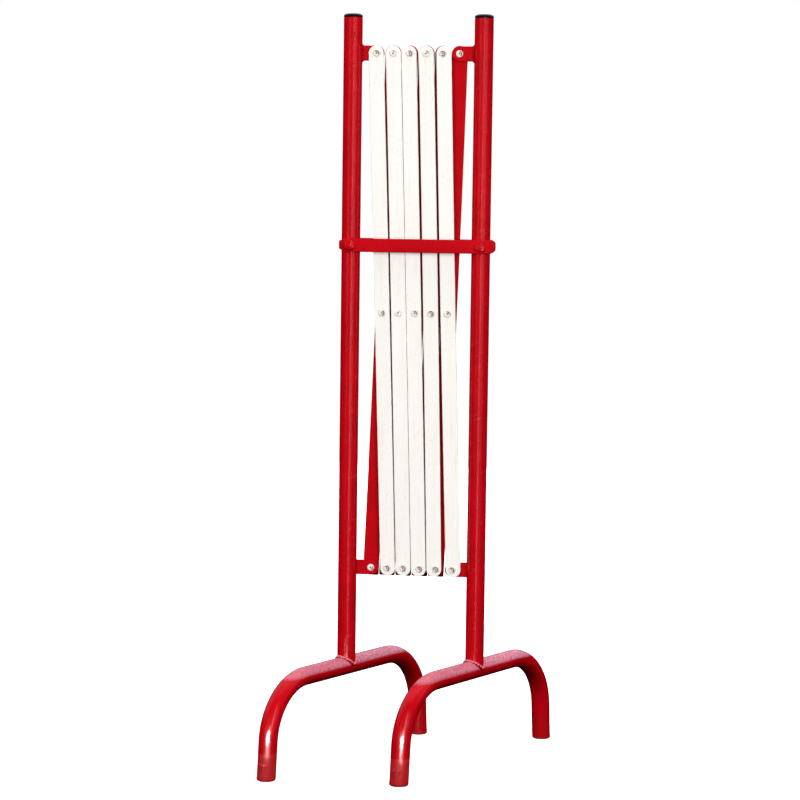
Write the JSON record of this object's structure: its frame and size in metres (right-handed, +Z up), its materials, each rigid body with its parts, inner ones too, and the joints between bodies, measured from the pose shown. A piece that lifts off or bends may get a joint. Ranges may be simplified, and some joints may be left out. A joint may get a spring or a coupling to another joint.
{
  "type": "expanding scissor barrier",
  "caption": "Folded expanding barrier: two round posts on bent-tube feet joined by a trellis of crossed flat slats, with a clip that holds it shut.",
  "frame": {"origin": "on the floor, midway between the two posts", "axes": "+Z up, +X from the left post to the right post, -Y towards the front, where the white slats are"},
  "size_m": [0.366, 0.3392, 1],
  "materials": {
    "frame_paint": "gloss red paint on steel tube and plate",
    "clip_paint": "gloss red paint on flat steel",
    "red_slat_paint": "gloss red paint on flat steel",
    "white_slat_paint": "off-white gloss paint on flat steel, slightly soiled",
    "rivet_steel": "zinc plated, dull",
    "spacer_steel": "zinc plated, dull",
    "cap_plastic": "black moulded plastic",
    "plug_plastic": "dull red moulded plastic",
    "slider_nylon": "natural nylon"
  },
  "bodies": {
    "left_post": {"left_post": "frame_paint", "left_upper_ear": "frame_paint", "left_cap": "cap_plastic", "left_foot": "frame_paint", "left_front_plug": "plug_plastic", "left_back_plug": "plug_plastic", "upper_rivet_1": "rivet_steel"},
    "front_slat_1": {"front_slat_1": "white_slat_paint", "middle_rivet_1": "rivet_steel", "middle_spacer_1": "spacer_steel", "lower_rivet_2": "rivet_steel", "lower_spacer_2": "spacer_steel"},
    "back_slat_1": {"back_slat_1": "red_slat_paint"},
    "front_slat_2": {"front_slat_2": "white_slat_paint", "middle_rivet_2": "rivet_steel", "middle_spacer_2": "spacer_steel", "upper_rivet_2": "rivet_steel", "upper_spacer_2": "spacer_steel", "lower_rivet_3": "rivet_steel", "lower_spacer_3": "spacer_steel"},
    "back_slat_2": {"back_slat_2": "red_slat_paint"},
    "front_slat_3": {"front_slat_3": "white_slat_paint", "middle_rivet_3": "rivet_steel", "middle_spacer_3": "spacer_steel", "upper_rivet_3": "rivet_steel", "upper_spacer_3": "spacer_steel", "lower_rivet_4": "rivet_steel", "lower_spacer_4": "spacer_steel"},
    "back_slat_3": {"back_slat_3": "red_slat_paint"},
    "front_slat_4": {"front_slat_4": "white_slat_paint", "middle_rivet_4": "rivet_steel", "middle_spacer_4": "spacer_steel", "upper_rivet_4": "rivet_steel", "upper_spacer_4": "spacer_steel", "lower_rivet_5": "rivet_steel", "lower_spacer_5": "spacer_steel"},
    "back_slat_4": {"back_slat_4": "red_slat_paint"},
    "front_slat_5": {"front_slat_5": "white_slat_paint", "middle_rivet_5": "rivet_steel", "middle_spacer_5": "spacer_steel", "upper_rivet_5": "rivet_steel", "upper_spacer_5": "spacer_steel"},
    "back_slat_5": {"back_slat_5": "red_slat_paint"},
    "right_post": {"right_post": "frame_paint", "right_upper_ear": "frame_paint", "right_cap": "cap_plastic", "right_foot": "frame_paint", "right_front_plug": "plug_plastic", "right_back_plug": "plug_plastic", "upper_rivet_6": "rivet_steel"},
    "left_slider": {"left_slider": "slider_nylon", "left_lower_ear": "frame_paint", "lower_rivet_1": "rivet_steel"},
    "right_slider": {"right_slider": "slider_nylon", "right_lower_ear": "frame_paint", "lower_rivet_6": "rivet_steel"},
    "clip": {"clip": "clip_paint", "clip_screw_left": "clip_paint", "clip_screw_right": "clip_paint"}
  },
  "joints": [
    {"name": "fold", "type": "hinge", "parent": "left_post", "child": "front_slat_1", "pos_m": [-0.055, 0, 0.948], "axis": [0, -1, 0], "range_deg": [0, 43]},
    {"name": "crossing_1", "type": "hinge", "parent": "front_slat_1", "child": "back_slat_1", "pos_m": [-0.044, 0, 0.604], "axis": [0, 1, 0], "range_deg": [0, 86]},
    {"name": "upper_pivot_2", "type": "hinge", "parent": "back_slat_1", "child": "front_slat_2", "pos_m": [-0.033, 0, 0.948], "axis": [0, -1, 0], "range_deg": [0, 86]},
    {"name": "crossing_2", "type": "hinge", "parent": "front_slat_2", "child": "back_slat_2", "pos_m": [-0.022, 0, 0.604], "axis": [0, 1, 0], "range_deg": [0, 86]},
    {"name": "upper_pivot_3", "type": "hinge", "parent": "back_slat_2", "child": "front_slat_3", "pos_m": [-0.011, 0, 0.948], "axis": [0, -1, 0], "range_deg": [0, 86]},
    {"name": "crossing_3", "type": "hinge", "parent": "front_slat_3", "child": "back_slat_3", "pos_m": [0, 0, 0.604], "axis": [0, 1, 0], "range_deg": [0, 86]},
    {"name": "upper_pivot_4", "type": "hinge", "parent": "back_slat_3", "child": "front_slat_4", "pos_m": [0.011, 0, 0.948], "axis": [0, -1, 0], "range_deg": [0, 86]},
    {"name": "crossing_4", "type": "hinge", "parent": "front_slat_4", "child": "back_slat_4", "pos_m": [0.022, 0, 0.604], "axis": [0, 1, 0], "range_deg": [0, 86]},
    {"name": "upper_pivot_5", "type": "hinge", "parent": "back_slat_4", "child": "front_slat_5", "pos_m": [0.033, 0, 0.948], "axis": [0, -1, 0], "range_deg": [0, 86]},
    {"name": "crossing_5", "type": "hinge", "parent": "front_slat_5", "child": "back_slat_5", "pos_m": [0.044, 0, 0.604], "axis": [0, 1, 0], "range_deg": [0, 86]},
    {"name": "right_post_pivot", "type": "hinge", "parent": "back_slat_5", "child": "right_post", "pos_m": [0.055, 0, 0.948], "axis": [0, -1, 0], "range_deg": [0, 43]},
    {"name": "left_slider_pivot", "type": "hinge", "parent": "back_slat_1", "child": "left_slider", "pos_m": [-0.055, 0, 0.26], "axis": [0, -1, 0], "range_deg": [0, 43]},
    {"name": "right_slider_pivot", "type": "hinge", "parent": "front_slat_5", "child": "right_slider", "pos_m": [0.055, 0, 0.26], "axis": [0, 1, 0], "range_deg": [0, 43]},
    {"name": "clip_slide", "type": "slide", "parent": "left_post", "child": "clip", "axis": [0, 0, 1], "range_m": [0, 0.28]}
  ],
  "couplings": [
    {"joint": "crossing_1", "follows": "fold", "ratio": 2},
    {"joint": "upper_pivot_2", "follows": "fold", "ratio": 2},
    {"joint": "crossing_2", "follows": "fold", "ratio": 2},
    {"joint": "upper_pivot_3", "follows": "fold", "ratio": 2},
    {"joint": "crossing_3", "follows": "fold", "ratio": 2},
    {"joint": "upper_pivot_4", "follows": "fold", "ratio": 2},
    {"joint": "crossing_4", "follows": "fold", "ratio": 2},
    {"joint": "upper_pivot_5", "follows": "fold", "ratio": 2},
    {"joint": "crossing_5", "follows": "fold", "ratio": 2},
    {"joint": "right_post_pivot", "follows": "fold", "ratio": 1},
    {"joint": "left_slider_pivot", "follows": "fold", "ratio": 1},
    {"joint": "right_slider_pivot", "follows": "fold", "ratio": 1}
  ]
}
